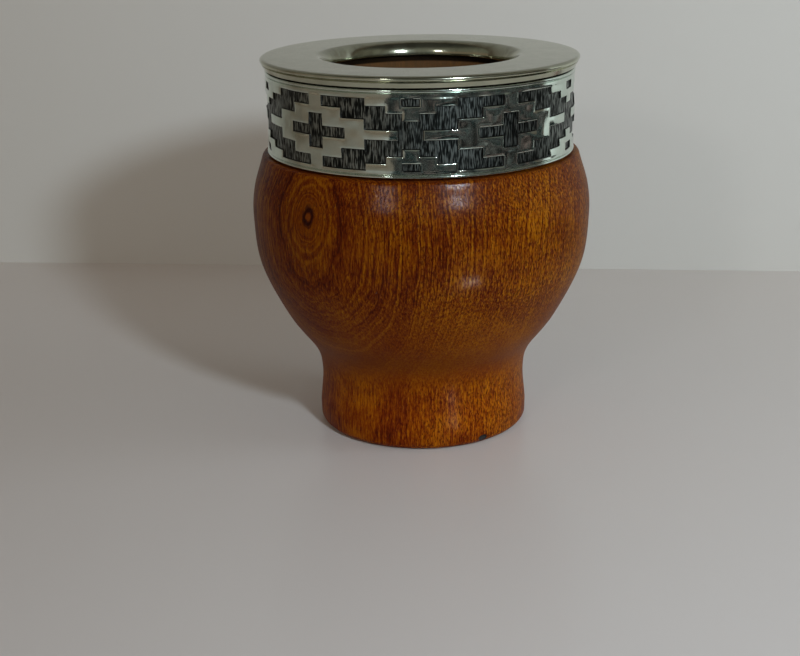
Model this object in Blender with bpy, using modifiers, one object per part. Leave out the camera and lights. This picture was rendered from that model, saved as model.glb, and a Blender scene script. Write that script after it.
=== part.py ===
"""A turned wooden mate cup with a white-metal collar.

The cup is one hollow block of wood: a short foot, a narrow neck, a round belly and a mouth.
A straight metal band engraved with stepped diamonds is fitted into a rebate round the mouth.
A flat rim ring closes the band from above, and its lip turns down into the mouth.

Metres, +Z up. The origin is the middle of the foot's underside, and the front faces -Y.
Angles go round the axis from the front (-Y) towards +X.
"""

import math

import bmesh
import bpy
from mathutils import Matrix, Vector

MM = 0.001

# Fits between the pieces
GAP = 0.4 * MM
TURNING_STEPS = 60
MERGE_DISTANCE = 0.01 * MM
SHARP_EDGE_ANGLE = math.radians(30)

# Wooden cup, outside: (radius, height) of the places that shape its flank, from shoulder to foot
SHOULDER = Vector((40.75, 70.2)) * MM
UPPER_BELLY = Vector((42.7, 63.5)) * MM
BELLY = Vector((43.2, 56.0)) * MM
LOWER_BELLY = Vector((41.7, 44.0)) * MM
FLANK = Vector((35.3, 30.5)) * MM
NECK_CURVE = Vector((28.5, 21.0)) * MM
NECK = Vector((26.8, 14.0)) * MM
FOOT = Vector((27.45, 4.8)) * MM
SHOULDER_EDGE_CENTRE = 39.2 * MM
SHOULDER_EDGE = 1.2 * MM
FOOT_EDGE = 2.2 * MM

# Wooden cup, inside: (radius, height) of the bowl's places, from its floor to the mouth
BOWL_FLOOR = Vector((0.0, 24.0)) * MM
BOWL_CORNER = Vector((14.9, 28.0)) * MM
BOWL_SIDE = Vector((23.8, 38.0)) * MM
BOWL_WIDEST = Vector((27.0, 60.0)) * MM
BOWL_MOUTH = Vector((24.8, 88.8)) * MM
MOUTH_EDGE = 1.6 * MM

# Small chip out of the foot's lower edge: half its depth, width and height
CHIP_ANGLE = 34.5
CHIP_PLACE = Vector((27.25, 1.6)) * MM
CHIP_SIZE = Vector((1.0, 1.3, 0.9)) * MM

# Engraved band
BAND_BOTTOM = 72.8 * MM
BAND_TOP = 93.3 * MM
BAND_RADIUS = 38.8 * MM
BAND_INNER_RADIUS = 37.7 * MM
BEAD_STAND = 0.25 * MM
GROOVE_DEPTH = 0.2 * MM
GROOVE_WIDTH = 0.3 * MM
BEAD_WIDTH = 0.7 * MM

# Pattern on the band: stepped diamonds, with half diamonds growing from both borders between them
PATTERN_BOTTOM = 74.6 * MM
PATTERN_TOP = 91.2 * MM
PATTERN_REPEATS = 5
FIRST_DIAMOND_ANGLE = -38.5
DIAMOND_ROWS = 7
DIAMOND_HALF_ANGLES = (31.8, 20.0, 11.1, 3.0)
CROSS_ARM_HALF_ANGLE = 12.2
CROSS_BAR_HALF_HEIGHT = 4.0 * MM
HALF_DIAMOND_STEP = 1.7 * MM
HALF_DIAMOND_HALF_ANGLES = (16.0, 8.8, 3.0)
ENGRAVING_DEPTH = 0.35 * MM

# Rim ring
RIM_TOP = 96.4 * MM
RIM_RADIUS = 40.0 * MM
RIM_THICKNESS = 1.1 * MM
FLARE_TOP_RADIUS = 39.6 * MM
FLARE_BOTTOM_RADIUS = 38.95 * MM
FLARE_BOTTOM = BAND_TOP + GAP
LIP_START_RADIUS = 26.2 * MM
LIP_RADIUS = 23.4 * MM
LIP_BOTTOM = 92.8 * MM
LIP_THICKNESS = 0.9 * MM

# Colours are linear RGB
WOOD_COLOUR = (0.30, 0.095, 0.018, 1.0)
WOOD_ROUGHNESS = 0.3
METAL_COLOUR = (0.62, 0.61, 0.56, 1.0)
METAL_ROUGHNESS = 0.18
AGED_METAL_COLOUR = (0.42, 0.42, 0.40, 1.0)
AGED_METAL_ROUGHNESS = 0.35


def clear_scene():
    """Remove every object, so that the file holds the cup alone."""
    for item in list(bpy.data.objects):
        bpy.data.objects.remove(item, do_unlink=True)


def new_collection(name):
    """A collection linked to the scene."""
    made = bpy.data.collections.new(name)
    bpy.context.scene.collection.children.link(made)
    return made


def finish_material(name, colour, roughness, metallic):
    """A Principled BSDF material with one colour."""
    made = bpy.data.materials.new(name)
    made.use_nodes = True
    shader = made.node_tree.nodes["Principled BSDF"]
    shader.inputs["Base Color"].default_value = colour
    shader.inputs["Roughness"].default_value = roughness
    shader.inputs["Metallic"].default_value = metallic
    return made


def smooth_run(points, samples):
    """Points along a Catmull-Rom curve through the given (radius, height) points."""
    first = 2 * points[0] - points[1]
    last = 2 * points[-1] - points[-2]
    ends = [first] + points + [last]
    run = []
    for index in range(1, len(ends) - 2):
        before, start, end, after = ends[index - 1:index + 3]
        for step in range(samples):
            t = step / samples
            pull = (end - before) * 0.5
            push = (after - start) * 0.5
            run.append(
                start * (2 * t**3 - 3 * t**2 + 1)
                + pull * (t**3 - 2 * t**2 + t)
                + end * (3 * t**2 - 2 * t**3)
                + push * (t**3 - t**2)
            )
    return run + [points[-1]]


def quarter(centre, reach, start, end, segments):
    """Points on an ellipse about centre, from start to end degrees, as (radius, height)."""
    run = []
    for step in range(segments + 1):
        angle = math.radians(start + (end - start) * step / segments)
        run.append((centre[0] + reach[0] * math.cos(angle), centre[1] + reach[1] * math.sin(angle)))
    return run


def turned(name, profile, closed, material, collection):
    """A solid of revolution: the (radius, height) profile turned about the Z axis."""
    outline = bmesh.new()
    points = [outline.verts.new((radius, 0, height)) for radius, height in profile]
    for first, second in zip(points, points[1:]):
        outline.edges.new((first, second))
    if closed:
        outline.edges.new((points[-1], points[0]))
    mesh = bpy.data.meshes.new(name)
    outline.to_mesh(mesh)
    outline.free()
    mesh.materials.append(material)
    made = bpy.data.objects.new(name, mesh)
    collection.objects.link(made)
    turn = made.modifiers.new("Turning", "SCREW")
    turn.axis = "Z"
    turn.angle = math.tau
    turn.steps = TURNING_STEPS
    turn.render_steps = TURNING_STEPS
    turn.use_merge_vertices = True
    turn.merge_threshold = MERGE_DISTANCE
    turn.use_smooth_shade = True
    return made


def bowl_profile():
    """Inside of the cup, from the middle of the bowl's floor up to the mouth."""
    return smooth_run([BOWL_FLOOR, BOWL_CORNER, BOWL_SIDE, BOWL_WIDEST, BOWL_MOUTH], 4)


def mouth_profile():
    """Top of the wood: rounded mouth edge, end face under the rim, and the rebate for the band."""
    wood_top = RIM_TOP - RIM_THICKNESS - GAP
    edge_centre = (BOWL_MOUTH.x + MOUTH_EDGE, wood_top - MOUTH_EDGE)
    edge = quarter(edge_centre, (MOUTH_EDGE, MOUTH_EDGE), 180, 90, 3)
    rebate_radius = BAND_INNER_RADIUS - GAP
    rebate_floor = BAND_BOTTOM - GAP
    return edge + [(rebate_radius, wood_top), (rebate_radius, rebate_floor)]


def body_profile():
    """Outside of the wood, from the shoulder below the band down to the foot."""
    shoulder_centre = (SHOULDER_EDGE_CENTRE, BAND_BOTTOM - GAP - SHOULDER_EDGE)
    shoulder = quarter(shoulder_centre, (SHOULDER_EDGE, SHOULDER_EDGE), 90, 20, 3)
    flank = smooth_run(
        [SHOULDER, UPPER_BELLY, BELLY, LOWER_BELLY, FLANK, NECK_CURVE, NECK, FOOT],
        3,
    )
    foot_centre = (FOOT.x - FOOT_EDGE, FOOT_EDGE)
    foot_edge = quarter(foot_centre, (FOOT_EDGE, FOOT_EDGE), -15, -90, 3)
    return shoulder + flank + foot_edge + [(0.0, 0.0)]


def round_place(radius, angle, height):
    """A point at an angle round the cup, counted from the front."""
    turn = math.radians(angle)
    return Vector((radius * math.sin(turn), -radius * math.cos(turn), height))


def wood_cup(collection, cutters):
    """The hollow turned cup, with a small chip out of the foot's lower edge."""
    material = finish_material("varnished_wood", WOOD_COLOUR, WOOD_ROUGHNESS, 0.0)
    profile = bowl_profile() + mouth_profile() + body_profile()
    cup = turned("wood_cup", profile, False, material, collection)

    bpy.ops.mesh.primitive_ico_sphere_add(subdivisions=2, radius=1.0)
    chip = bpy.context.object
    chip.name = "chip_cutter"
    chip.data.transform(Matrix.Diagonal(CHIP_SIZE).to_4x4())
    chip.location = round_place(CHIP_PLACE.x, CHIP_ANGLE, CHIP_PLACE.y)
    chip.rotation_euler.z = math.radians(CHIP_ANGLE - 90)
    chip.hide_render = True
    chip.display_type = "WIRE"
    for owner in list(chip.users_collection):
        owner.objects.unlink(chip)
    cutters.objects.link(chip)

    cut = cup.modifiers.new("Chip", "BOOLEAN")
    cut.operation = "DIFFERENCE"
    cut.solver = "EXACT"
    cut.object = chip
    return cup


def pattern_row_height():
    """Height of one of the diamond's equal rows."""
    return (PATTERN_TOP - PATTERN_BOTTOM) / DIAMOND_ROWS


def band_rows():
    """Heights of the band's rows and the radius at each, from the bottom edge to the top edge."""
    groove_radius = BAND_RADIUS - GROOVE_DEPTH
    bead_radius = BAND_RADIUS + BEAD_STAND
    rows = {
        BAND_BOTTOM: groove_radius,
        BAND_BOTTOM + 0.5 * BEAD_WIDTH: bead_radius,
        BAND_BOTTOM + BEAD_WIDTH: groove_radius,
        BAND_BOTTOM + BEAD_WIDTH + GROOVE_WIDTH: BAND_RADIUS,
        BAND_TOP - BEAD_WIDTH - GROOVE_WIDTH: BAND_RADIUS,
        BAND_TOP - BEAD_WIDTH: groove_radius,
        BAND_TOP - 0.5 * BEAD_WIDTH: bead_radius,
        BAND_TOP: groove_radius,
    }
    middle = 0.5 * (PATTERN_BOTTOM + PATTERN_TOP)
    half_height = 0.5 * (PATTERN_TOP - PATTERN_BOTTOM)
    offsets = [CROSS_BAR_HALF_HEIGHT]
    offsets += [(row + 0.5) * pattern_row_height() for row in range(len(DIAMOND_HALF_ANGLES))]
    offsets += [half_height - step * HALF_DIAMOND_STEP for step in (1, 2, 3)]
    for offset in offsets:
        rows[middle - offset] = BAND_RADIUS
        rows[middle + offset] = BAND_RADIUS
    return sorted(rows.items())


def band_columns():
    """Angles of the band's columns, once round, from one edge of the first diamond's repeat."""
    repeat = 360 / PATTERN_REPEATS
    half_repeat = 0.5 * repeat
    offsets = set(DIAMOND_HALF_ANGLES)
    offsets.add(CROSS_ARM_HALF_ANGLE)
    offsets.update(half_repeat - angle for angle in HALF_DIAMOND_HALF_ANGLES)
    places = sorted([-offset for offset in offsets] + list(offsets))
    columns = []
    for number in range(PATTERN_REPEATS):
        centre = FIRST_DIAMOND_ANGLE + number * repeat
        columns += [centre + place for place in places]
    return columns + [columns[0] + 360]


def is_engraved(angle, height):
    """True where the band's background is cut back, so that the plates of the pattern stand out."""
    half_repeat = 180 / PATTERN_REPEATS
    from_diamond = abs((angle - FIRST_DIAMOND_ANGLE + half_repeat) % (2 * half_repeat) - half_repeat)
    from_half_diamond = half_repeat - from_diamond
    from_middle = abs(height - 0.5 * (PATTERN_BOTTOM + PATTERN_TOP))
    from_border = 0.5 * (PATTERN_TOP - PATTERN_BOTTOM) - from_middle
    if from_border < 0:
        return False

    row = int(from_middle / pattern_row_height() + 0.5)
    if from_diamond < DIAMOND_HALF_ANGLES[row]:
        in_bar = from_diamond < DIAMOND_HALF_ANGLES[-1] and from_middle < CROSS_BAR_HALF_HEIGHT
        in_arm = from_diamond < CROSS_ARM_HALF_ANGLE and row == 0
        return in_bar or in_arm

    step = int(from_border / HALF_DIAMOND_STEP)
    if step < len(HALF_DIAMOND_HALF_ANGLES) and from_half_diamond < HALF_DIAMOND_HALF_ANGLES[step]:
        return step == 0 and from_half_diamond < HALF_DIAMOND_HALF_ANGLES[-1]
    return True


def move_to_radius(points, change):
    """Move points towards or away from the axis: change takes the old radius and gives the new one."""
    for point in points:
        old = math.hypot(point.co.x, point.co.y)
        new = change(old)
        point.co.x *= new / old
        point.co.y *= new / old


def engraved_band(collection):
    """The metal band: a grid bent round the cup, its background engraved, closed at the back."""
    rows = band_rows()
    columns = band_columns()
    column_count = len(columns) - 1
    row_count = len(rows) - 1
    band = bmesh.new()
    bmesh.ops.create_grid(band, x_segments=column_count, y_segments=row_count, size=1.0)
    for point in band.verts:
        column = round((point.co.x + 1) / 2 * column_count)
        row = round((point.co.y + 1) / 2 * row_count)
        height, radius = rows[row]
        point.co = round_place(radius, columns[column], height)
    bmesh.ops.remove_doubles(band, verts=band.verts, dist=MERGE_DISTANCE)

    background = []
    for face in band.faces:
        middle = face.calc_center_median()
        angle = math.degrees(math.atan2(middle.x, -middle.y))
        if is_engraved(angle, middle.z):
            background.append(face)
    sunk = bmesh.ops.extrude_face_region(band, geom=background)
    sunk_points = [item for item in sunk["geom"] if isinstance(item, bmesh.types.BMVert)]
    move_to_radius(sunk_points, lambda radius: radius - ENGRAVING_DEPTH)
    bmesh.ops.delete(band, geom=background, context="FACES_ONLY")

    edges = [edge for edge in band.edges if edge.is_boundary]
    back = bmesh.ops.extrude_edge_only(band, edges=edges)
    back_points = [item for item in back["geom"] if isinstance(item, bmesh.types.BMVert)]
    move_to_radius(back_points, lambda radius: BAND_INNER_RADIUS)
    back_edges = [edge for edge in band.edges if edge.is_boundary]
    bmesh.ops.bridge_loops(band, edges=back_edges)
    bmesh.ops.recalc_face_normals(band, faces=band.faces)

    mesh = bpy.data.meshes.new("engraved_band")
    band.to_mesh(mesh)
    band.free()
    mesh.shade_smooth()
    mesh.set_sharp_from_angle(angle=SHARP_EDGE_ANGLE)
    mesh.materials.append(finish_material("engraved_metal", AGED_METAL_COLOUR, AGED_METAL_ROUGHNESS, 1.0))
    made = bpy.data.objects.new("engraved_band", mesh)
    collection.objects.link(made)
    return made


def rim_profile():
    """Section of the rim ring: flat top, rounded outer edge, flared skirt and turned-down lip."""
    underside = RIM_TOP - RIM_THICKNESS
    half_edge = 0.5 * RIM_THICKNESS
    edge_centre = (RIM_RADIUS - half_edge, RIM_TOP - half_edge)
    outer_edge = quarter(edge_centre, (half_edge, half_edge), 90, -70, 4)
    flare_reach = (FLARE_TOP_RADIUS - FLARE_BOTTOM_RADIUS, underside - FLARE_BOTTOM)
    flare = quarter((FLARE_TOP_RADIUS, FLARE_BOTTOM), flare_reach, 90, 180, 3)
    skirt = [(BAND_INNER_RADIUS, FLARE_BOTTOM), (BAND_INNER_RADIUS, underside)]

    lip_reach = (LIP_START_RADIUS - LIP_RADIUS, RIM_TOP - LIP_BOTTOM)
    back_reach = (lip_reach[0] - LIP_THICKNESS, lip_reach[1] - RIM_THICKNESS)
    lip_centre = (LIP_START_RADIUS, LIP_BOTTOM)
    lip_back = quarter(lip_centre, back_reach, 90, 180, 4)
    lip_front = quarter(lip_centre, lip_reach, 180, 90, 5)
    return outer_edge + flare + skirt + lip_back + lip_front


def rim_ring(collection):
    """The flat metal ring on top of the cup, with its lip turned down into the mouth."""
    material = finish_material("polished_metal", METAL_COLOUR, METAL_ROUGHNESS, 1.0)
    return turned("rim_ring", rim_profile(), True, material, collection)


def main():
    clear_scene()
    cup = new_collection("mate_cup")
    cutters = new_collection("cutters")
    wood_cup(cup, cutters)
    engraved_band(cup)
    rim_ring(cup)


main()
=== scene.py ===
"""Looks of a turned wooden mate cup with a white-metal collar.

The wood, the engraved band and the rim ring are modelled again at full detail, each in the
place of its solid. Metres, +Z up, the front faces -Y, and angles go from the front towards +X.
"""

import math

import bmesh
import bpy
import numpy as np
from mathutils import Matrix, Vector


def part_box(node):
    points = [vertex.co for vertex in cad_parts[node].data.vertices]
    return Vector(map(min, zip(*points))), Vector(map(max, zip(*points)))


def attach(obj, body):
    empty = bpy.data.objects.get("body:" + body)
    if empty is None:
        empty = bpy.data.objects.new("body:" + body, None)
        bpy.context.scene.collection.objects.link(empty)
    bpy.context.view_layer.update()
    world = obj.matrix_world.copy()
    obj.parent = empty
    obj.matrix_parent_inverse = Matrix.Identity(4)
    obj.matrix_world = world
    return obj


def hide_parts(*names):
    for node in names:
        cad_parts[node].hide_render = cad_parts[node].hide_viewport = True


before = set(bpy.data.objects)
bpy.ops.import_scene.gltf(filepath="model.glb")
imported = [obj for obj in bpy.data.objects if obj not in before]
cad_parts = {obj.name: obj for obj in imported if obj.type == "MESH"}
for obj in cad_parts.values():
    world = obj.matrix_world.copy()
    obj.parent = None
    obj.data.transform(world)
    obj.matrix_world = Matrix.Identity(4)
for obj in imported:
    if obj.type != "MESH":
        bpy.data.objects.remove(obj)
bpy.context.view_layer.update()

MM = 0.001
BAND_LOW, BAND_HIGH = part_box("engraved_band")
RIM_LOW, RIM_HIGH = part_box("rim_ring")

# Camera: where the photograph was taken from, and its view
CAMERA_PLACE = Vector((4.08, -355.6, 143.25)) * MM
CAMERA_PITCH = math.radians(18.56)
CAMERA_ROLL = math.radians(-0.906)
CAMERA_YAW = math.radians(-1.618)
SENSOR_WIDTH = 36.0
LENS = 63.25
CLIP_START = 0.01
CLIP_END = 20.0

# Wooden cup: (radius, height) of the places that shape it, in millimetres
FLANK_PLACES = (
    (40.75, 70.2), (42.7, 63.5), (43.2, 56.0), (41.7, 44.0),
    (35.3, 30.5), (28.5, 21.0), (26.8, 14.0), (27.45, 4.8),
)
BOWL_PLACES = ((0.0, 24.0), (14.9, 28.0), (23.8, 38.0), (27.0, 60.0), (24.8, 88.8))
SHOULDER_EDGE_CENTRE = 39.2
SHOULDER_EDGE = 1.2
FOOT_EDGE = 2.2
MOUTH_EDGE = 1.6
GAP = 0.4
CHIP_ANGLE = 34.5
CHIP_PLACE = (27.25, 1.6)
CHIP_SIZE = (1.0, 1.3, 0.9)
CHIP_UNEVENNESS = 0.06

# Collar band, in millimetres
BAND_RADIUS = 38.8
BAND_INNER_RADIUS = 37.7
BAND_BOTTOM = BAND_LOW.z / MM
BAND_TOP = BAND_HIGH.z / MM
BEAD_STAND = 0.09
BEAD_WIDTH = 0.7
GROOVE_DEPTH = 0.25
GROOVE_WIDTH = 0.3
BAND_EDGE = 0.12
MM_PER_DEGREE = BAND_RADIUS * math.pi / 180

# Pattern of the band: stepped diamonds with half diamonds between them
PATTERN_BOTTOM = 74.6
PATTERN_TOP = 91.2
PATTERN_MIDDLE = 0.5 * (PATTERN_BOTTOM + PATTERN_TOP)
PATTERN_HALF_HEIGHT = 0.5 * (PATTERN_TOP - PATTERN_BOTTOM)
PATTERN_MARGIN = 0.5
PATTERN_REPEATS = 5
HALF_REPEAT = 180 / PATTERN_REPEATS
FIRST_DIAMOND_ANGLE = -38.5
DIAMOND_ROWS = 7
DIAMOND_ROW = (PATTERN_TOP - PATTERN_BOTTOM) / DIAMOND_ROWS
DIAMOND_PAST_BORDER = 2
DIAMOND_HALF_ANGLES = (31.8, 20.0, 11.1, 3.0)
CROSS_ARM_HALF_ANGLE = 12.2
CROSS_BAR_HALF_HEIGHT = 4.0
HALF_DIAMOND_STEP = 1.7
HALF_DIAMOND_HALF_ANGLES = (16.0, 8.8, 3.0)
ENGRAVING_DEPTH = 0.35
EDGE_ROUNDING = 0.7
EDGE_DROP = 0.1
WALL_WIDTH = 0.1
WALL_OFFSETS = (-2.5, -1.0, 1.0, 2.5)
PLATE_SLOT, GROUND_SLOT, CORNER_SLOT = 0, 1, 2

# Dents of the plates and strokes of the ground, as lattices: (columns, rows, weight)
DENT_DEPTH = 0.15
DENT_FADE = 0.4
DENT_LATTICES = ((45, 4, 1.0), (95, 9, 0.5))
STROKE_DEPTH = 0.1
STROKE_LATTICES = ((480, 4, 1.0), (620, 9, 0.6))
SEED = 7

# Rim ring, in millimetres
RIM_TOP = RIM_HIGH.z / MM
RIM_RADIUS = 40.0
RIM_THICKNESS = 1.1
ROLL_HEIGHT = 1.3
ROLL_REACH = 0.9
CREASE_DEPTH = 0.25
FLARE_TOP_RADIUS = 39.6
FLARE_BOTTOM_RADIUS = 38.95
LIP_START_RADIUS = 26.2
LIP_RADIUS = 23.4
LIP_BOTTOM = RIM_LOW.z / MM
LIP_THICKNESS = 0.9

# Detail of the turned pieces
WOOD_STEPS = 240
RIM_STEPS = 288
BAND_COLUMN_SPACING = 0.46
BAND_ROW_SPACING = 0.55
LOWER_BORDER_ROWS = 15
UPPER_BORDER_ROWS = 17

# Wood figure: the heart of the tree stands outside the cup, so its rings meet the belly as ovals
KNOT_ANGLE = -38.0
KNOT_HEIGHT = 62.9
KNOT_RADIUS = 42.7
KNOT_FLATNESS = 0.6
KNOT_PULL = 6.0
KNOT_PULL_REACH = 8.0
HEART_DISTANCE = 75.0
HEART_LEAN = -0.08
RING_SWAY = 6.0
RING_WAVER = 1.3
SWEEP_RING = 35.6
SWEEP_WIDTH = 2.0
UNDER_LIP = 91.2

# Where the wood changes: from one place to the other, in millimetres up the cup or across it
LINES_GROW_UP = (20.0, 62.0)
DASHES_GROW_ACROSS = (-10.0, 35.0)
PAINTED_LIGHT_ACROSS = (-5.0, 35.0)
PORES_GROW_ACROSS = (-20.0, 30.0)
MIDDLE_FADES_ACROSS = (4.0, 22.0)
MIDDLE_GROWS_UP = (40.0, 56.0)
FOOT_CLEARS_DOWN = (14.5, 20.5)
BELLY_CLEARS_UP = (25.0, 45.0)
LOW_BELLY_FADES_UP = (28.0, 50.0)
FOOT_FADES_UP = (10.0, 24.0)

# Paleness of the wood's figure: its level, and how much each part of it counts
FIGURE_LEVEL = 0.305
LINE_WEIGHT_AT_FOOT = 0.13
LINE_WEIGHT_ON_BELLY = 0.38
DASH_WEIGHT_AT_KNOT = 0.20
DASH_WEIGHT_AT_RIGHT = 0.45
FIBRE_WEIGHT = 0.37
BROAD_WEIGHT = 0.06
MOTTLE_WEIGHT = 0.22
MIDDLE_SHADE = 0.022
SWEEP_SHADE = 0.045
KNOT_PALENESS = 0.64
NECK_PALENESS = 0.622
NECK_FIGURE = 0.3
DARKEST_FIGURE = 0.52
PALEST_FIGURE = 0.76

# Colours of the wood
WOOD_COLOURS = (
    (0.0, (0.034, 0.0040, 0.0004)),
    (0.20, (0.085, 0.0100, 0.0006)),
    (0.40, (0.131, 0.0248, 0.0005)),
    (0.60, (0.196, 0.0540, 0.0008)),
    (1.0, (0.305, 0.1100, 0.0020)),
)
LOW_BELLY_TINT = (1.22, 1.32, 1.0, 1.0)
FOOT_TINT = (1.22, 1.02, 0.7, 1.0)
PORE_COLOUR = (0.045, 0.0045, 0.0006, 1.0)
KNOT_OUTLINE_COLOUR = (0.020, 0.0025, 0.0008, 1.0)
KNOT_EYE_COLOUR = (0.15, 0.030, 0.005, 1.0)
BARE_WOOD_COLOUR = (0.125, 0.070, 0.030, 1.0)
UNDER_LIP_COLOUR = (0.004, 0.003, 0.002, 1.0)

# Colours of the metals
RIM_DULL = (0.45, 0.465, 0.355)
RIM_BRIGHT = (0.52, 0.535, 0.415)
RIM_BLOTCH = (0.24, 0.22, 0.15, 1.0)
PLATE_DULL = (0.55, 0.63, 0.56)
PLATE_BRIGHT = (0.65, 0.73, 0.65)
GROUND_COLOURS = (
    (0.0, (0.009, 0.010, 0.009)),
    (0.5, (0.041, 0.046, 0.042)),
    (1.0, (0.270, 0.300, 0.275)),
)
# Dark line in the corner round each plate: blackened metal deepened with painted shade
CORNER_COLOURS = ((0.35, (0.008, 0.008, 0.007)), (0.7, (0.06, 0.06, 0.055)))

# Stage
TABLE_COLOUR = (0.66, 0.625, 0.585, 1.0)
WALL_COLOUR = (0.68, 0.67, 0.615, 1.0)
WALL_PAINTED_SHADE_ABOVE = (0.42, 0.41, 0.38, 1.0)
WALL_DISTANCE = 141.0 * MM
WALL_TURN = math.radians(-4)
CUP_MIDDLE = Vector((0.0, 0.0, 55.0)) * MM
TABLE_REACH = 2.5
WALL_HEIGHT = 1.5

# Room that the metal mirrors: outlines as (radius, height) in metres, angles in degrees
LOW_ROOM = ((0.17, 0.0004), (0.4, 0.0005), (0.8, 0.0006), (1.2, 0.0007), (1.2, 0.15), (1.2, 0.42))
LOW_ROOM_START = -20
LOW_ROOM_END = 131
CEILING_ROOM = ((1.2, 0.42), (1.15, 0.8), (0.9, 1.1), (0.4, 1.3), (0.01, 1.32))
ROOM_COLOURS = (
    (0.0, (0.002, 0.004, 0.004)),
    (0.35, (0.011, 0.012, 0.012)),
    (0.6, (0.036, 0.034, 0.034)),
    (1.0, (0.230, 0.225, 0.220)),
)
ROOM_HUES = ((0.0, (0.7, 1.08, 1.12)), (1.0, (1.22, 0.92, 0.88)))
ROOM_COLOUR_ABOVE = (0.17, 0.168, 0.140, 1.0)
ROOM_COLOUR_OVERHEAD = (0.045, 0.044, 0.038, 1.0)

# Lamps: (azimuth, elevation, distance from the cup's middle, size, power), in degrees, metres and watts
LAMP = (26, 26.5, 0.45, 0.05, 0.66)
LAMP_AIM = Vector((-0.03, 0.08, 0.08))
LAMP_SPREAD = 150
SMALL_LAMP = (-24, 22, 0.9, 0.09, 0.45)
SIDE_LIGHT = (86, 10, 0.5, 0.25, 0.7)
SIDE_LIGHT_AIM = Vector((0.1, 0.14, 0.03))
VARNISH_GLOSS = 1.3
COOL_LIGHT = (0.87, 1.0, 1.13)
WARM_LIGHT = (1.0, 0.97, 0.88)
WHITE_LIGHT = (1.0, 1.0, 1.0)
SURROUND_COLOUR = (0.96, 0.74, 0.57, 1.0)
SURROUND_STRENGTH = 0.24

# The lamp's mirror images on the table: angle, distance from the axis, size and the height that
# each aims at, in millimetres, then its spread and power
GLINTS = {
    "belly_glint": (29.0, 116.0, 12.0, 55.0, 180, 0.027),
    "foot_glint": (25.0, 52.0, 6.0, 10.0, 80, 0.0002),
}


def smooth_run(points, samples):
    """Points along a Catmull-Rom curve through the given (radius, height) points."""
    places = [np.array(point, float) for point in points]
    ends = [2 * places[0] - places[1]] + places + [2 * places[-1] - places[-2]]
    run = []
    for index in range(1, len(ends) - 2):
        before, start, end, after = ends[index - 1:index + 3]
        for step in range(samples):
            t = step / samples
            run.append(
                start * (2 * t**3 - 3 * t**2 + 1)
                + (end - before) * 0.5 * (t**3 - 2 * t**2 + t)
                + end * (3 * t**2 - 2 * t**3)
                + (after - start) * 0.5 * (t**3 - t**2)
            )
    return run + [places[-1]]


def arc(centre, reach, start, end, segments):
    """Points on an ellipse about centre, from start to end degrees, as (radius, height)."""
    run = []
    for step in range(segments + 1):
        angle = math.radians(start + (end - start) * step / segments)
        point = (centre[0] + reach[0] * math.cos(angle), centre[1] + reach[1] * math.sin(angle))
        run.append(np.array(point))
    return run


def straight(start, end, segments):
    """Points from start towards end, leaving both out."""
    start, end = np.array(start, float), np.array(end, float)
    return [start + (end - start) * step / segments for step in range(1, segments)]


def line_to(profile, end, segments):
    """The profile lengthened by a straight run that ends on the point."""
    return profile + straight(profile[-1], end, segments=segments) + [np.array(end, float)]


def grid_mesh(name, points, closed_round, closed_along):
    """A mesh from an array of points: the first index runs along, the second goes round."""
    along, around = points.shape[:2]
    ids = np.arange(along * around).reshape(along, around)
    if closed_round:
        ids = np.concatenate([ids, ids[:, :1]], axis=1)
    if closed_along:
        ids = np.concatenate([ids, ids[:1]], axis=0)
    quads = np.stack([ids[:-1, :-1], ids[1:, :-1], ids[1:, 1:], ids[:-1, 1:]], axis=-1)
    mesh = bpy.data.meshes.new(name)
    mesh.from_pydata(points.reshape(-1, 3).tolist(), [], quads.reshape(-1, 4).tolist())
    mesh.update()
    return mesh


def turned_mesh(name, profile, steps, closed):
    """A turned surface, with the (radius, height) profile in millimetres."""
    profile = np.array(profile)
    angles = np.linspace(0, math.tau, steps, endpoint=False)
    radius, height = profile[:, :1] * MM, profile[:, 1:] * MM
    points = np.stack(
        [radius * np.sin(angles), -radius * np.cos(angles), height * np.ones(steps)], axis=-1
    )
    return grid_mesh(name, points, True, closed)


def add_piece(name, mesh, node):
    """An object that takes the place of a solid and moves with the cup."""
    made = bpy.data.objects.new(name, mesh)
    bpy.context.scene.collection.objects.link(made)
    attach(made, "root")
    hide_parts(node)
    return made


def close_poles(mesh):
    """Merge the points that lie together on the axis, so that the surface has no hole there."""
    work = bmesh.new()
    work.from_mesh(mesh)
    bmesh.ops.remove_doubles(work, verts=work.verts, dist=0.001 * MM)
    bmesh.ops.recalc_face_normals(work, faces=work.faces)
    work.to_mesh(mesh)
    work.free()


def smooth_shade(mesh, sharp_angle):
    """Shade the mesh smooth, apart from edges that turn by more than the angle in degrees."""
    mesh.shade_smooth()
    mesh.set_sharp_from_angle(angle=math.radians(sharp_angle))


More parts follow.
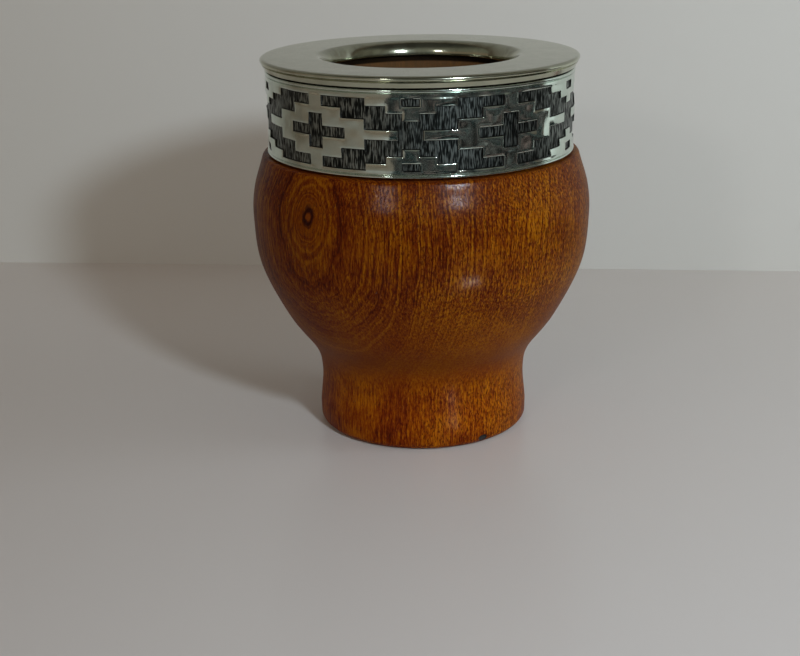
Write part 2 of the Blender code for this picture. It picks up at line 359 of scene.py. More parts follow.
class Shader:
    """Short names for adding and joining the nodes of one material."""

    def __init__(self, name):
        self.material = bpy.data.materials.new(name)
        self.material.use_nodes = True
        self.tree = self.material.node_tree
        self.surface = self.tree.nodes["Principled BSDF"]

    def node(self, kind, settings, inputs):
        made = self.tree.nodes.new(kind)
        for key, value in settings.items():
            setattr(made, key, value)
        for key, value in inputs.items():
            self.feed(made.inputs[key], value)
        return made

    def feed(self, socket, value):
        if isinstance(value, bpy.types.NodeSocket):
            self.tree.links.new(value, socket)
        else:
            socket.default_value = value

    def maths(self, operation, *values):
        made = self.tree.nodes.new("ShaderNodeMath")
        made.operation = operation
        for socket, value in zip(made.inputs, values):
            self.feed(socket, value)
        return made.outputs[0]

    def plus(self, first, second):
        return self.maths("ADD", first, second)

    def minus(self, first, second):
        return self.maths("SUBTRACT", first, second)

    def times(self, first, second):
        return self.maths("MULTIPLY", first, second)

    def length(self, first, second):
        """The length of a flat vector from its two parts."""
        squares = self.plus(self.times(first, first), self.times(second, second))
        return self.maths("SQRT", squares)

    def swing(self, noise, amount):
        """A noise of 0 to 1 made to swing about zero."""
        return self.times(self.minus(noise, 0.5), amount)

    def draw_to(self, value, neutral, kept):
        """The value where kept is 1, and the neutral value where it is 0."""
        return self.plus(self.times(self.minus(value, neutral), kept), neutral)

    def place(self):
        """The object's own coordinates, in millimetres."""
        coordinates = self.node("ShaderNodeTexCoord", {}, {})
        made = self.node(
            "ShaderNodeVectorMath", {"operation": "SCALE"},
            {0: coordinates.outputs["Object"], "Scale": 1000.0},
        )
        return made.outputs[0]

    def axes(self, place):
        made = self.node("ShaderNodeSeparateXYZ", {}, {0: place})
        return made.outputs[0], made.outputs[1], made.outputs[2]

    def stretch(self, vector, scale):
        made = self.node(
            "ShaderNodeVectorMath", {"operation": "MULTIPLY"}, {0: vector, 1: scale}
        )
        return made.outputs[0]

    def noise(self, vector, scale, detail=3.0, roughness=0.55):
        made = self.node(
            "ShaderNodeTexNoise", {},
            {"Vector": vector, "Scale": scale, "Detail": detail, "Roughness": roughness},
        )
        return made.outputs["Fac"]

    def noise_line(self, value, scale, detail=3.0, roughness=0.6):
        made = self.node(
            "ShaderNodeTexNoise", {"noise_dimensions": "1D"},
            {"W": value, "Scale": scale, "Detail": detail, "Roughness": roughness},
        )
        return made.outputs["Fac"]

    def span(self, value, low, high, to_low=0.0, to_high=1.0):
        made = self.node(
            "ShaderNodeMapRange", {"clamp": True},
            {"Value": value, "From Min": low, "From Max": high, "To Min": to_low, "To Max": to_high},
        )
        return made.outputs["Result"]

    def colours(self, value, stops):
        made = self.tree.nodes.new("ShaderNodeValToRGB")
        self.feed(made.inputs["Fac"], value)
        ramp = made.color_ramp
        while len(ramp.elements) < len(stops):
            ramp.elements.new(0.5)
        for element, (position, colour) in zip(ramp.elements, stops):
            element.position = position
            element.color = (*colour, 1.0)
        return made.outputs["Color"]

    def blend(self, factor, first, second, mode="MIX"):
        made = self.node("ShaderNodeMix", {"data_type": "RGBA", "blend_type": mode}, {})
        self.feed(made.inputs["Factor"], factor)
        for socket, value in ((made.inputs[6], first), (made.inputs[7], second)):
            self.feed(socket, value)
        return made.outputs[2]

    def tint(self, colour, amount, tint):
        return self.blend(amount, colour, self.blend(1.0, colour, tint, "MULTIPLY"))

    def bump(self, height, distance, strength=1.0, normal=None):
        made = self.node(
            "ShaderNodeBump", {},
            {"Height": height, "Distance": distance * MM, "Strength": strength},
        )
        if normal is not None:
            self.feed(made.inputs["Normal"], normal)
        return made.outputs["Normal"]

    def set(self, **values):
        """Set or join sockets of the surface, named as on it with underscores."""
        for key, value in values.items():
            self.feed(self.surface.inputs[key.replace("_", " ").title().replace("Ior", "IOR")], value)


def wood_rings(wood, place):
    """How far each point is from the knot, and the ring of the tree that it lies on."""
    x, y, z = wood.axes(place)
    knot_turn = math.radians(KNOT_ANGLE)
    toward = Vector((math.sin(knot_turn), -math.cos(knot_turn)))

    # Distance from the knot on the belly, shorter upright than across
    knot = (toward.x * KNOT_RADIUS, toward.y * KNOT_RADIUS, KNOT_HEIGHT)
    from_knot = wood.node("ShaderNodeVectorMath", {"operation": "SUBTRACT"}, {0: place, 1: knot})
    squeezed = wood.stretch(from_knot.outputs[0], (1, 1, KNOT_FLATNESS))
    knot_length = wood.node("ShaderNodeVectorMath", {"operation": "LENGTH"}, {0: squeezed})
    uneven = wood.swing(wood.noise(place, scale=0.5, detail=1.0), 1.0)
    knot_distance = wood.plus(knot_length.outputs["Value"], uneven)

    # Distance from the tree's leaning heart, made uneven and drawn in round the knot
    reach = wood.plus(wood.times(wood.minus(z, KNOT_HEIGHT), HEART_LEAN), HEART_DISTANCE)
    away_x = wood.minus(x, wood.times(reach, toward.x))
    away_y = wood.minus(y, wood.times(reach, toward.y))
    ring = wood.length(away_x, away_y)
    sway = wood.noise(wood.stretch(place, (1, 1, 0.5)), scale=0.04, detail=1.0)
    ring = wood.plus(ring, wood.swing(sway, RING_SWAY))
    waver = wood.noise(wood.stretch(place, (1, 1, 0.3)), scale=0.35, detail=3.0)
    ring = wood.plus(ring, wood.swing(waver, RING_WAVER))
    pull = wood.span(knot_distance, 0.0, KNOT_PULL_REACH, 1.0, 0.0)
    ring = wood.minus(ring, wood.times(wood.times(pull, pull), KNOT_PULL))
    return knot_distance, ring


def wood_figure(wood, place, fibre, knot_distance, ring):
    """How pale each point is: ring lines, upright fibres, short dashes and broad mottling."""
    x, _, z = wood.axes(place)
    lines = wood.noise_line(ring, scale=1.6, detail=3.0, roughness=0.7)
    line_weight = wood.span(z, *LINES_GROW_UP, LINE_WEIGHT_AT_FOOT, LINE_WEIGHT_ON_BELLY)
    dashes = wood.noise(wood.stretch(place, (1, 1, 0.25)), scale=3.2, detail=2.0, roughness=0.6)
    dash_weight = wood.span(x, *DASHES_GROW_ACROSS, DASH_WEIGHT_AT_KNOT, DASH_WEIGHT_AT_RIGHT)
    figure = wood.plus(wood.swing(lines, line_weight), FIGURE_LEVEL)
    figure = wood.plus(figure, wood.swing(dashes, dash_weight))
    broad = wood.noise_line(ring, scale=0.3, detail=1.0, roughness=0.5)
    mottle = wood.noise(place, scale=0.07, detail=3.0, roughness=0.6)
    for part, weight in ((broad, BROAD_WEIGHT), (fibre, FIBRE_WEIGHT), (mottle, MOTTLE_WEIGHT)):
        figure = wood.plus(figure, wood.times(part, weight))

    # Paler away from the knot's side, which is painted light from the lamp at the right; darker in the
    # middle of the belly and beside the knot
    figure = wood.plus(figure, wood.span(x, *PAINTED_LIGHT_ACROSS, -0.006, 0.025))
    from_middle = wood.maths("ABSOLUTE", x)
    middle = wood.span(from_middle, *MIDDLE_FADES_ACROSS, MIDDLE_SHADE, 0.0)
    figure = wood.minus(figure, wood.times(middle, wood.span(z, *MIDDLE_GROWS_UP)))
    from_sweep = wood.maths("ABSOLUTE", wood.minus(ring, SWEEP_RING))
    figure = wood.minus(figure, wood.span(from_sweep, 0.0, SWEEP_WIDTH, SWEEP_SHADE, 0.0))

    # Calm wood round the knot
    return wood.draw_to(figure, KNOT_PALENESS, wood.span(knot_distance, 2.0, 9.0, 0.5, 1.0))


def wood_material():
    """Golden brown figured wood: varnished outside and on the mouth's edge, dull inside the bowl."""
    wood = Shader("varnished_wood")
    place = wood.place()
    x, y, z = wood.axes(place)
    knot_distance, ring = wood_rings(wood, place)
    fibre = wood.noise(wood.stretch(place, (1, 1, 0.07)), scale=2.4, detail=3.0, roughness=0.65)
    figure = wood_figure(wood, place, fibre, knot_distance, ring)

    # The varnish lies thick in the neck and hides the figure there
    clear_foot = wood.span(z, *FOOT_CLEARS_DOWN, 1.0, NECK_FIGURE)
    clear_belly = wood.span(z, *BELLY_CLEARS_UP, NECK_FIGURE, 1.0)
    clear = wood.maths("MAXIMUM", clear_foot, clear_belly)
    figure = wood.draw_to(figure, NECK_PALENESS, clear)
    base = wood.colours(wood.span(figure, DARKEST_FIGURE, PALEST_FIGURE), WOOD_COLOURS)

    # Pores: short dark dashes along the grain, denser on the side away from the knot
    pores = wood.noise(wood.stretch(place, (1, 1, 0.3)), scale=3.0, detail=2.0, roughness=0.5)
    pore_field = wood.noise(place, scale=0.06, detail=1.0, roughness=0.5)
    side = wood.span(x, *PORES_GROW_ACROSS, 0.05, -0.07)
    pore_cut = wood.plus(wood.span(pore_field, 0.35, 0.65, 0.60, 0.54), side)
    pore_mask = wood.times(wood.span(wood.minus(pores, pore_cut), 0.0, 0.05), clear)
    base = wood.blend(wood.times(pore_mask, 0.75), base, PORE_COLOUR)

    # More golden below the belly's widest place, and redder on the foot
    base = wood.tint(base, wood.span(z, *LOW_BELLY_FADES_UP, 1.0, 0.0), LOW_BELLY_TINT)
    base = wood.tint(base, wood.span(z, *FOOT_FADES_UP, 1.0, 0.0), FOOT_TINT)

    # The knot's eye: a red-brown spot inside a dark outline
    within = wood.span(knot_distance, 1.3, 1.9, 1.0, 0.0)
    outline = wood.times(wood.span(knot_distance, 0.5, 0.9), within)
    base = wood.blend(outline, base, KNOT_OUTLINE_COLOUR)
    eye = wood.span(knot_distance, 0.3, 0.8, 1.0, 0.0)
    base = wood.blend(wood.times(eye, 0.8), base, KNOT_EYE_COLOUR)

    # Bare, duller wood inside the bowl, and a black line of shade under the metal lip
    bowl_radius = max(radius for radius, height in BOWL_PLACES)
    bowl_floor = BOWL_PLACES[0][1]
    near_axis = wood.span(wood.length(x, y), bowl_radius + 0.2, bowl_radius + 0.6, 1.0, 0.0)
    inside = wood.times(near_axis, wood.span(z, bowl_floor - 2, bowl_floor - 1))
    base = wood.blend(wood.times(inside, 0.8), base, BARE_WOOD_COLOUR)
    under_lip = wood.span(z, UNDER_LIP - 0.3, UNDER_LIP + 0.1)
    base = wood.blend(wood.times(under_lip, 0.97), base, UNDER_LIP_COLOUR)

    wood.set(base_color=base, roughness=0.45)
    wood.set(specular_ior_level=0.04, specular_tint=(1.0, 0.62, 0.30, 1.0))
    wood.set(coat_weight=0.11, coat_roughness=0.17, coat_ior=1.5)
    raised = wood.bump(fibre, distance=0.05, strength=0.6)
    pitted = wood.bump(wood.times(pore_mask, -1.0), distance=0.05, strength=0.7, normal=raised)
    wood.set(normal=pitted, coat_normal=pitted)
    return wood.material


def chip_shade_material():
    """The chip in the foot's edge, painted near-black: painted shade in its hollow."""
    chipped = Shader("chip_painted_shade")
    place = chipped.place()
    grain = chipped.noise(place, scale=3.0, detail=3.0)
    base = chipped.colours(grain, [(0.3, (0.002, 0.0015, 0.001)), (0.7, (0.012, 0.006, 0.003))])
    chipped.set(base_color=base, roughness=0.9, normal=chipped.bump(grain, distance=0.1))
    return chipped.material


def drifting_tone(metal, place, scale, dull, bright):
    """The metal's colour, which drifts between two tones."""
    tarnish = metal.noise(place, scale=scale, detail=3.0)
    return metal.colours(metal.span(tarnish, 0.35, 0.7), [(0.0, dull), (1.0, bright)])


def ring_metal():
    """Warm white metal, polished, with faint wiping marks and dark blotches near the lip."""
    metal = Shader("polished_metal")
    place = metal.place()
    x, y, _ = metal.axes(place)
    base = drifting_tone(metal, place, 0.25, RIM_DULL, RIM_BRIGHT)
    near_lip = metal.span(metal.length(x, y), LIP_RADIUS + 0.6, LIP_START_RADIUS + 0.4, 1.0, 0.0)
    blotches = metal.times(near_lip, metal.span(metal.noise(place, scale=0.2, detail=3.0), 0.48, 0.62))
    base = metal.blend(metal.times(blotches, 0.6), base, RIM_BLOTCH)
    marks = metal.noise(metal.stretch(place, (0.6, 0.6, 4.0)), scale=2.0, detail=4.0, roughness=0.7)
    metal.set(base_color=base, metallic=1.0, roughness=metal.span(marks, 0.3, 0.7, 0.10, 0.2))
    waves = metal.noise(place, scale=0.14, detail=2.0, roughness=0.5)
    uneven = metal.bump(waves, distance=0.12, strength=0.6)
    metal.set(normal=metal.bump(marks, distance=0.002, strength=0.4, normal=uneven))
    return metal.material


def plate_metal():
    """The plates' metal: a little greyer than the rim's, with short upright wiping marks."""
    metal = Shader("plate_metal")
    place = metal.place()
    base = drifting_tone(metal, place, 0.3, PLATE_DULL, PLATE_BRIGHT)
    marks = metal.noise(metal.stretch(place, (1.0, 1.0, 0.3)), scale=1.5, detail=2.0, roughness=0.6)
    metal.set(base_color=base, metallic=1.0, roughness=metal.span(marks, 0.3, 0.7, 0.08, 0.17))
    metal.set(normal=metal.bump(marks, distance=0.0004, strength=0.5))
    return metal.material


def hatched_metal():
    """Darkened metal of the cut-back ground, with fine upright chisel strokes."""
    metal = Shader("hatched_metal")
    place = metal.place()
    strokes = metal.noise(metal.stretch(place, (1, 1, 0.12)), scale=3.6, detail=1.0, roughness=0.5)
    tone_noise = metal.noise(place, scale=0.5, detail=3.0, roughness=0.6)
    shade = metal.plus(metal.times(strokes, 0.75), metal.times(tone_noise, 0.25))
    base = metal.colours(metal.span(shade, 0.40, 0.60), GROUND_COLOURS)
    metal.set(base_color=base, metallic=1.0, roughness=metal.span(shade, 0.3, 0.7, 0.55, 0.3))
    metal.set(normal=metal.bump(strokes, distance=0.06, strength=0.8))
    return metal.material


def oxide_and_shade_metal():
    """The black line in the corner round every plate: blackened metal, deepened with painted shade."""
    metal = Shader("oxide_and_shade_metal")
    place = metal.place()
    tone_noise = metal.noise(place, scale=2.0, detail=3.0, roughness=0.6)
    base = metal.colours(tone_noise, CORNER_COLOURS)
    metal.set(base_color=base, metallic=1.0, roughness=0.45, normal=metal.bump(tone_noise, distance=0.02))
    return metal.material


def wood_profile():
    """Section of the wood, from the bowl's floor over the mouth and down to the foot's underside."""
    wood_top = RIM_TOP - RIM_THICKNESS - GAP
    rebate_radius = BAND_INNER_RADIUS - GAP
    ledge = BAND_BOTTOM - GAP
    mouth_centre = (BOWL_PLACES[-1][0] + MOUTH_EDGE, wood_top - MOUTH_EDGE)
    shoulder_centre = (SHOULDER_EDGE_CENTRE, ledge - SHOULDER_EDGE)
    foot_centre = (FLANK_PLACES[-1][0] - FOOT_EDGE, FOOT_EDGE)
    profile = smooth_run(BOWL_PLACES, samples=14)
    profile += arc(mouth_centre, (MOUTH_EDGE, MOUTH_EDGE), 180, 90, segments=8)
    profile = line_to(profile, (rebate_radius, wood_top), segments=6)
    profile = line_to(profile, (rebate_radius, ledge), segments=10)
    profile += arc(shoulder_centre, (SHOULDER_EDGE, SHOULDER_EDGE), 90, 20, segments=8)
    profile += smooth_run(FLANK_PLACES, samples=10)
    profile += arc(foot_centre, (FOOT_EDGE, FOOT_EDGE), -15, -90, segments=8)
    return line_to(profile, (0, 0), segments=8)


def chip_cutter():
    """A small uneven lump that is cut out of the foot's lower edge."""
    bpy.ops.mesh.primitive_ico_sphere_add(subdivisions=3, radius=1.0)
    chip = bpy.context.object
    draw = np.random.default_rng(SEED)
    for point in chip.data.vertices:
        point.co *= 1 + draw.uniform(-CHIP_UNEVENNESS, CHIP_UNEVENNESS)
    chip.data.transform(Matrix.Diagonal(Vector(CHIP_SIZE) * MM).to_4x4())
    turn = math.radians(CHIP_ANGLE)
    radius, height = CHIP_PLACE
    # The chip's cut faces take its painted shade
    chip.data.materials.append(chip_shade_material())
    chip.location = Vector((radius * math.sin(turn), -radius * math.cos(turn), height)) * MM
    chip.rotation_euler.z = turn - math.pi / 2
    return chip


def wood_piece():
    """The turned wooden cup, with the chip cut out of its foot."""
    mesh = turned_mesh("cup_wood", wood_profile(), WOOD_STEPS, False)
    close_poles(mesh)
    mesh.materials.append(wood_material())
    piece = bpy.data.objects.new("cup_wood_base", mesh)
    bpy.context.scene.collection.objects.link(piece)
    chip = chip_cutter()
    cut = piece.modifiers.new("Chip", "BOOLEAN")
    cut.operation = "DIFFERENCE"
    cut.solver = "EXACT"
    cut.material_mode = "TRANSFER"
    cut.object = chip
    seen = piece.evaluated_get(bpy.context.evaluated_depsgraph_get())
    finished = bpy.data.meshes.new_from_object(seen)
    bpy.data.objects.remove(piece)
    bpy.data.objects.remove(chip)
    smooth_shade(finished, sharp_angle=35)
    return add_piece("cup_wood", finished, "wood_cup")


def rim_profile():
    """Section of the rim ring, from its top over the outer edge, the skirt and the lip."""
    underside = RIM_TOP - RIM_THICKNESS
    half_edge = 0.5 * ROLL_HEIGHT
    edge_bottom = RIM_TOP - ROLL_HEIGHT
    flare_top = (FLARE_TOP_RADIUS, edge_bottom - CREASE_DEPTH)
    flare_foot = (FLARE_BOTTOM_RADIUS, BAND_TOP + GAP)
    edge_centre = (RIM_RADIUS - ROLL_REACH, RIM_TOP - half_edge)
    profile = arc(edge_centre, (ROLL_REACH, half_edge), 90, -65, segments=16)
    profile += [np.array((FLARE_TOP_RADIUS - CREASE_DEPTH, edge_bottom)), np.array(flare_top)]
    profile = line_to(profile, flare_foot, segments=6)
    profile = line_to(profile, (BAND_INNER_RADIUS, BAND_TOP + GAP), segments=3)
    profile = line_to(profile, (BAND_INNER_RADIUS, underside), segments=4)
    lip_centre = (LIP_START_RADIUS, LIP_BOTTOM)
    lip_reach = (LIP_START_RADIUS - LIP_RADIUS, RIM_TOP - LIP_BOTTOM)
    back_reach = (lip_reach[0] - LIP_THICKNESS, lip_reach[1] - RIM_THICKNESS)
    back = arc(lip_centre, back_reach, 90, 180, segments=10)
    front = arc(lip_centre, lip_reach, 180, 90, segments=16)
    profile += straight(profile[-1], back[0], segments=6) + back
    profile += straight(back[-1], front[0], segments=3) + front
    return profile + straight(front[-1], profile[0], segments=14)


def rim_piece():
    """The rim ring: flat top, rounded outer edge, flared skirt and turned-down lip."""
    mesh = turned_mesh("collar_rim", rim_profile(), RIM_STEPS, True)
    mesh.materials.append(ring_metal())
    smooth_shade(mesh, sharp_angle=40)
    return add_piece("collar_rim", mesh, "rim_ring")


def lattice_noise(across, up, columns, rows, seed):
    """Smooth random values on a lattice that closes on itself across; across and up go from 0 to 1."""
    draw = np.random.default_rng(seed)
    lattice = draw.uniform(-1, 1, (rows + 2, columns))
    u = (across % 1.0) * columns
    v = np.clip(up, 0, 1) * rows
    column, row = np.floor(u).astype(int), np.floor(v).astype(int)
    fu, fv = u - column, v - row
    fu, fv = fu * fu * (3 - 2 * fu), fv * fv * (3 - 2 * fv)
    left, right = column % columns, (column + 1) % columns
    low = lattice[row, left] * (1 - fu) + lattice[row, right] * fu
    high = lattice[row + 1, left] * (1 - fu) + lattice[row + 1, right] * fu
    return low * (1 - fv) + high * fv


def summed_noise(angle, height, lattices, seed):
    """Noise over the band: the sum of several lattices, each with its weight and its own seed."""
    across = angle / 360
    up = (height - BAND_BOTTOM) / (BAND_TOP - BAND_BOTTOM)
    total = np.zeros_like(angle)
    for number, (columns, rows, weight) in enumerate(lattices):
        total += weight * lattice_noise(across, up, columns, rows, seed + number)
    return total


def box_distance(across, up, half_width, half_height):
    """Signed distance to a rectangle's outline, negative inside."""
    dx, dy = np.abs(across) - half_width, np.abs(up) - half_height
    outside = np.hypot(np.maximum(dx, 0), np.maximum(dy, 0))
    return outside + np.minimum(np.maximum(dx, dy), 0)


def pattern_distance(angle, height):
    """Signed distance in millimetres to the outline of the raised plates, negative on a plate."""
    from_diamond = (angle - FIRST_DIAMOND_ANGLE + HALF_REPEAT) % (2 * HALF_REPEAT) - HALF_REPEAT
    from_half = (HALF_REPEAT - np.abs(from_diamond)) * MM_PER_DEGREE
    from_diamond = from_diamond * MM_PER_DEGREE
    up = height - PATTERN_MIDDLE
    from_border = PATTERN_HALF_HEIGHT - np.abs(up)

    plates = from_border
    for index, half_angle in enumerate(DIAMOND_HALF_ANGLES):
        reach = (index + 0.5) * DIAMOND_ROW
        if index == len(DIAMOND_HALF_ANGLES) - 1:
            reach += DIAMOND_PAST_BORDER
        step = box_distance(from_diamond, up, half_angle * MM_PER_DEGREE, reach)
        plates = np.minimum(plates, step)
    for index, half_angle in enumerate(HALF_DIAMOND_HALF_ANGLES):
        reach = (index + 1) * HALF_DIAMOND_STEP
        step = box_distance(from_half, from_border, half_angle * MM_PER_DEGREE, reach)
        plates = np.minimum(plates, step)

    bar_half_width = DIAMOND_HALF_ANGLES[-1] * MM_PER_DEGREE
    bar = box_distance(from_diamond, up, bar_half_width, CROSS_BAR_HALF_HEIGHT)
    arm = box_distance(from_diamond, up, CROSS_ARM_HALF_ANGLE * MM_PER_DEGREE, 0.5 * DIAMOND_ROW)
    square_middle = 0.5 * HALF_DIAMOND_STEP
    square_half_width = HALF_DIAMOND_HALF_ANGLES[-1] * MM_PER_DEGREE
    square = box_distance(from_half, from_border - square_middle, square_half_width, square_middle)
    holes = np.minimum(np.minimum(bar, arm), square)
    return np.maximum(plates, -holes)


def edge_places(edges, offsets, low, high, spacing):
    """Sorted places from low to high: some close beside each edge, and others to fill the gaps."""
    places = {low, high}
    for edge in edges:
        for offset in offsets:
            if low < edge + offset < high:
                places.add(round(edge + offset, 5))
    places = sorted(places)
    filled = []
    for start, end in zip(places, places[1:]):
        parts = max(1, round((end - start) / spacing))
        filled += [start + (end - start) * part / parts for part in range(parts)]
    return np.array(filled + [places[-1]])


def band_columns():
    """Angles of the band's columns: those of one repeat, over and over all round."""
    edges = list(DIAMOND_HALF_ANGLES) + [CROSS_ARM_HALF_ANGLE]
    edges += [HALF_REPEAT - angle for angle in HALF_DIAMOND_HALF_ANGLES]
    edges += [-edge for edge in edges]
    offsets = [offset * WALL_WIDTH / MM_PER_DEGREE for offset in WALL_OFFSETS]
    repeat = edge_places(edges, offsets, -HALF_REPEAT, HALF_REPEAT, BAND_COLUMN_SPACING)
    starts = [FIRST_DIAMOND_ANGLE + number * 2 * HALF_REPEAT for number in range(PATTERN_REPEATS)]
    return np.concatenate([repeat[:-1] + start for start in starts])


def band_rows():
    """Heights of the band's rows."""
    edges = [(index + 0.5) * DIAMOND_ROW for index in range(len(DIAMOND_HALF_ANGLES))]
    for step in range(1, len(HALF_DIAMOND_HALF_ANGLES) + 1):
        edges.append(PATTERN_HALF_HEIGHT - step * HALF_DIAMOND_STEP)
    edges.append(CROSS_BAR_HALF_HEIGHT)
    edges = [PATTERN_MIDDLE - edge for edge in edges] + [PATTERN_MIDDLE + edge for edge in edges]
    offsets = [offset * WALL_WIDTH for offset in WALL_OFFSETS]
    low, high = PATTERN_BOTTOM - PATTERN_MARGIN, PATTERN_TOP + PATTERN_MARGIN
    pattern = edge_places(edges, offsets, low, high, BAND_ROW_SPACING)
    below = np.linspace(BAND_BOTTOM, low, LOWER_BORDER_ROWS + 1)[:-1]
    above = np.linspace(high, BAND_TOP, UPPER_BORDER_ROWS + 1)[1:]
    return np.concatenate([below, pattern, above])


def border_relief(height):
    """Radius added by the bead, the groove and the broken edge along the band's two edges."""
    from_edge = np.minimum(height - BAND_BOTTOM, BAND_TOP - height)
    bead_reach = 0.5 * BEAD_WIDTH
    bead = np.clip(1 - ((from_edge - bead_reach) / bead_reach) ** 2, 0, 1)
    groove_middle = BEAD_WIDTH + 0.5 * GROOVE_WIDTH
    groove_reach = 0.6 * GROOVE_WIDTH
    groove = np.clip(1 - ((from_edge - groove_middle) / groove_reach) ** 2, 0, 1)
    edge = np.clip(1 - from_edge / BAND_EDGE, 0, 1) * BAND_EDGE
    return bead * BEAD_STAND - groove * GROOVE_DEPTH - edge


def band_relief(angle, height):
    """Radius added to the band at each point, and how far each point is down on the ground, 0 to 1."""
    distance = pattern_distance(angle, height)
    near_edge = np.clip(1 + np.minimum(distance, 0) / EDGE_ROUNDING, 0, 1)
    past_pattern = np.abs(height - PATTERN_MIDDLE) - PATTERN_HALF_HEIGHT
    in_pattern = np.clip((DENT_FADE - past_pattern) / DENT_FADE, 0, 1)
    dents = summed_noise(angle, height, DENT_LATTICES, SEED)
    plate = -EDGE_DROP * near_edge**2 + DENT_DEPTH * dents * in_pattern
    strokes = summed_noise(angle, height, STROKE_LATTICES, SEED + len(DENT_LATTICES))
    ground = -ENGRAVING_DEPTH - STROKE_DEPTH * (0.5 + 0.5 * strokes)
    fall = np.clip((distance + WALL_WIDTH) / (2 * WALL_WIDTH), 0, 1)
    return plate * (1 - fall) + ground * fall + border_relief(height), fall


def band_piece():
    """The engraved band: raised plates with rounded edges on a chiselled ground."""
    angle, height = np.meshgrid(band_columns(), band_rows())
    relief, fall = band_relief(angle, height)
    radius = BAND_RADIUS + relief
    turn = np.radians(angle)
    outer = np.stack([radius * np.sin(turn), -radius * np.cos(turn), height], axis=-1)
    inner = outer[[-1, 0]].copy()
    inner[:, :, 0] = BAND_INNER_RADIUS * np.sin(turn[0])
    inner[:, :, 1] = -BAND_INNER_RADIUS * np.cos(turn[0])
    points = np.concatenate([outer, inner], axis=0)[::-1] * MM
    mesh = grid_mesh("collar_band", points, True, True)
    for material in (plate_metal(), hatched_metal(), oxide_and_shade_metal()):
        mesh.materials.append(material)

    # The ground's faces lie all the way down, and the corner round each plate part of the way
    sunk = fall[::-1]
    sunk_faces = 0.25 * (sunk[:-1] + sunk[1:] + np.roll(sunk[:-1], -1, 1) + np.roll(sunk[1:], -1, 1))
    # Faces part of the way down take the corner's dark metal with its painted shade
    corner_or_plate = np.where(sunk_faces > 0.2, CORNER_SLOT, PLATE_SLOT)
    slots = np.full(points.shape[:2], PLATE_SLOT, np.int32)
    slots[2:2 + len(sunk_faces)] = np.where(sunk_faces > 0.9, GROUND_SLOT, corner_or_plate)
    mesh.polygons.foreach_set("material_index", slots.ravel())
    smooth_shade(mesh, sharp_angle=50)
    return add_piece("collar_band", mesh, "engraved_band")


def seen_from_front(tree, surface):
    """Let the surface show on its front only, and be clear from behind."""
    side = tree.nodes.new("ShaderNodeNewGeometry")
    clear = tree.nodes.new("ShaderNodeBsdfTransparent")
    mix = tree.nodes.new("ShaderNodeMixShader")
    output = tree.nodes["Material Output"]
    tree.links.new(side.outputs["Backfacing"], mix.inputs["Fac"])
    tree.links.new(surface, mix.inputs[1])
    tree.links.new(clear.outputs[0], mix.inputs[2])
    tree.links.new(mix.outputs[0], output.inputs["Surface"])


def stage_plane(name, corners, material):
    """A flat stage surface from its four corners."""
    mesh = bpy.data.meshes.new(name)
    mesh.from_pydata([tuple(corner) for corner in corners], [], [(0, 1, 2, 3)])
    mesh.materials.append(material)
    made = bpy.data.objects.new(name, mesh)
    bpy.context.scene.collection.objects.link(made)


def table_and_wall():
    """A pale table, and a pale wall behind it with painted shade that makes it darker above the
    camera's view.
    """
    table = Shader("table_paint")
    table.set(base_color=TABLE_COLOUR, roughness=0.30, specular_ior_level=0.4)
    corners = [(-1, -1), (1, -1), (1, 1), (-1, 1)]
    stage_plane("table", [(x * TABLE_REACH, y * TABLE_REACH, 0) for x, y in corners], table.material)

    wall = Shader("wall_paint")
    height = wall.axes(wall.place())[2]
    # Painted shade: the wall turns darker above the camera's view
    tone = wall.blend(wall.span(height, 105.0, 150.0), WALL_COLOUR, WALL_PAINTED_SHADE_ABOVE)
    wall.set(base_color=tone, roughness=0.6, specular_ior_level=0.1)
    seen_from_front(wall.tree, wall.surface.outputs[0])
    middle = Vector((0, WALL_DISTANCE, 0))
    along = Vector((math.cos(WALL_TURN), math.sin(WALL_TURN), 0)) * TABLE_REACH
    up = Vector((0, 0, WALL_HEIGHT))
    corners = [middle - along, middle + along, middle + along + up, middle - along + up]
    stage_plane("wall", corners, wall.material)


def room_material():
    """The unlit room's tones, which glow as painted reflections: dark patches low down, dim above them
    and nearly dark overhead.
    """
    room = Shader("mirror_room")
    place = room.place()
    height = room.axes(place)[2]
    patches = room.span(room.noise(place, scale=0.015, detail=1.0, roughness=0.5), 0.36, 0.66)
    dark = room.colours(patches, ROOM_COLOURS)
    hue = room.span(room.noise(place, scale=0.008, detail=1.0), 0.4, 0.6)
    dark = room.blend(1.0, dark, room.colours(hue, ROOM_HUES), "MULTIPLY")
    shade = room.blend(room.span(height, 150.0, 420.0), dark, ROOM_COLOUR_ABOVE)
    shade = room.blend(room.span(height, 800.0, 1150.0), shade, ROOM_COLOUR_OVERHEAD)
    glow = room.node("ShaderNodeEmission", {}, {"Color": shade, "Strength": 1.0})
    seen_from_front(room.tree, glow.outputs[0])
    return room.material


def mirror_room():
    """The room that only mirror reflections see: in front and at the right below, all round above."""
    material = room_material()
    low_angles = np.radians(np.linspace(LOW_ROOM_START, LOW_ROOM_END, 40))
    all_round = np.linspace(0, math.tau, 60, endpoint=False)
    parts = (
        ("low_room", LOW_ROOM, low_angles, False),
        ("ceiling_room", CEILING_ROOM, all_round, True),
    )
    for name, outline, angles, closed in parts:
        points = np.array([
            [(radius * math.sin(angle), -radius * math.cos(angle), height) for angle in angles]
            for radius, height in outline
        ])
        mesh = grid_mesh(name, points, closed, False)
        mesh.materials.append(material)
        mirror_only(bpy.data.objects.new(name, mesh))


def area_light(name, place, aim, size, power, colour, mirrored, spread=180):
    """A round soft light that faces a point of the stage."""
    light = bpy.data.lights.new(name, "AREA")
    light.shape = "DISK"
    light.size = size
    light.energy = power
    light.color = colour
    light.spread = math.radians(spread)
    made = bpy.data.objects.new(name, light)
    bpy.context.scene.collection.objects.link(made)
    made.location = place
    made.rotation_euler = (place - aim).to_track_quat("Z", "Y").to_euler()
    made.visible_camera = False
    made.visible_glossy = mirrored
    return made


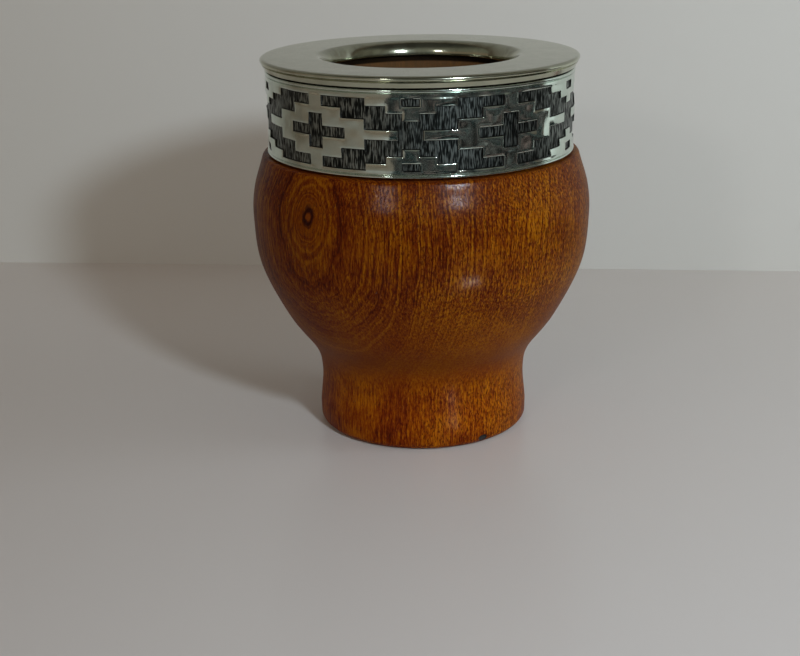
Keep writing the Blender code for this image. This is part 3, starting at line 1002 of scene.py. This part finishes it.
def round_the_cup(azimuth, elevation, distance):
    """A place at an azimuth and elevation in degrees from the middle of the cup."""
    turn, rise = math.radians(azimuth), math.radians(elevation)
    away = Vector((math.sin(turn) * math.cos(rise), -math.cos(turn) * math.cos(rise), math.sin(rise)))
    return CUP_MIDDLE + away * distance


def mirror_only(made):
    """Add a stage object that only mirror reflections see."""
    bpy.context.scene.collection.objects.link(made)
    made.visible_camera = False
    made.visible_diffuse = False
    made.visible_transmission = False
    made.visible_volume_scatter = False
    made.visible_shadow = False


def gloss_only(light, receivers):
    """Let a light show only as a reflection, and only on the receivers."""
    light.visible_diffuse = False
    light.light_linking.receiver_collection = receivers


def lamp(name, values, aim, colour, mirrored=True, spread=180, share=1.0):
    """An area light round the cup, or a copy of it with a share of its power."""
    azimuth, elevation, distance, size, power = values
    place = round_the_cup(azimuth, elevation, distance)
    return area_light(name, place, aim, size, power * share, colour, mirrored, spread)


def lights(wood):
    """A near lamp at the right, a small far lamp at the left and a soft side light."""
    lamp("lamp", LAMP, LAMP_AIM, COOL_LIGHT, spread=LAMP_SPREAD)
    lamp("right_side", SIDE_LIGHT, SIDE_LIGHT_AIM, COOL_LIGHT, mirrored=False)
    lamp("small_lamp", SMALL_LAMP, CUP_MIDDLE, WHITE_LIGHT)

    # The lamp's bright mirror image on the table, as the varnished belly and foot see it
    wood_only = bpy.data.collections.new("glint_receivers")
    wood_only.objects.link(wood)
    for name, (angle, distance, size, aim_height, spread, power) in GLINTS.items():
        turn = math.radians(angle)
        place = Vector((distance * math.sin(turn), -distance * math.cos(turn), 1.0)) * MM
        aim = Vector((0, 0, aim_height)) * MM
        glint = area_light(name, place, aim, size * MM, power, WARM_LIGHT, True, spread)
        gloss_only(glint, wood_only)

    # The varnish mirrors the lamps themselves more strongly than the room
    gloss = lamp("lamp_gloss", LAMP, LAMP_AIM, COOL_LIGHT, spread=LAMP_SPREAD, share=VARNISH_GLOSS)
    gloss_only(gloss, wood_only)
    gloss = lamp("small_lamp_gloss", SMALL_LAMP, CUP_MIDDLE, WHITE_LIGHT, share=VARNISH_GLOSS)
    gloss_only(gloss, wood_only)


def surround():
    """The warm, dim light that comes from all round."""
    world = bpy.data.worlds.new("pale_surround")
    world.use_nodes = True
    background = world.node_tree.nodes["Background"]
    background.inputs["Color"].default_value = SURROUND_COLOUR
    background.inputs["Strength"].default_value = SURROUND_STRENGTH
    bpy.context.scene.world = world


def camera():
    """The camera at the photograph's angle."""
    data = bpy.data.cameras.new("view")
    data.sensor_width = SENSOR_WIDTH
    data.lens = LENS
    data.clip_start = CLIP_START
    data.clip_end = CLIP_END
    made = bpy.data.objects.new("view", data)
    bpy.context.scene.collection.objects.link(made)
    forward = Vector((
        math.sin(CAMERA_YAW) * math.cos(CAMERA_PITCH),
        math.cos(CAMERA_YAW) * math.cos(CAMERA_PITCH),
        -math.sin(CAMERA_PITCH),
    ))
    level_right = Vector((math.cos(CAMERA_YAW), -math.sin(CAMERA_YAW), 0))
    level_up = level_right.cross(forward)
    right = math.cos(CAMERA_ROLL) * level_right + math.sin(CAMERA_ROLL) * level_up
    up = -math.sin(CAMERA_ROLL) * level_right + math.cos(CAMERA_ROLL) * level_up
    turn = Matrix((right, up, -forward)).transposed()
    made.matrix_world = Matrix.Translation(CAMERA_PLACE) @ turn.to_4x4()
    bpy.context.scene.camera = made


camera()
table_and_wall()
mirror_room()
lights(wood_piece())
surround()
rim_piece()
band_piece()
bpy.context.scene.view_settings.view_transform = "Standard"
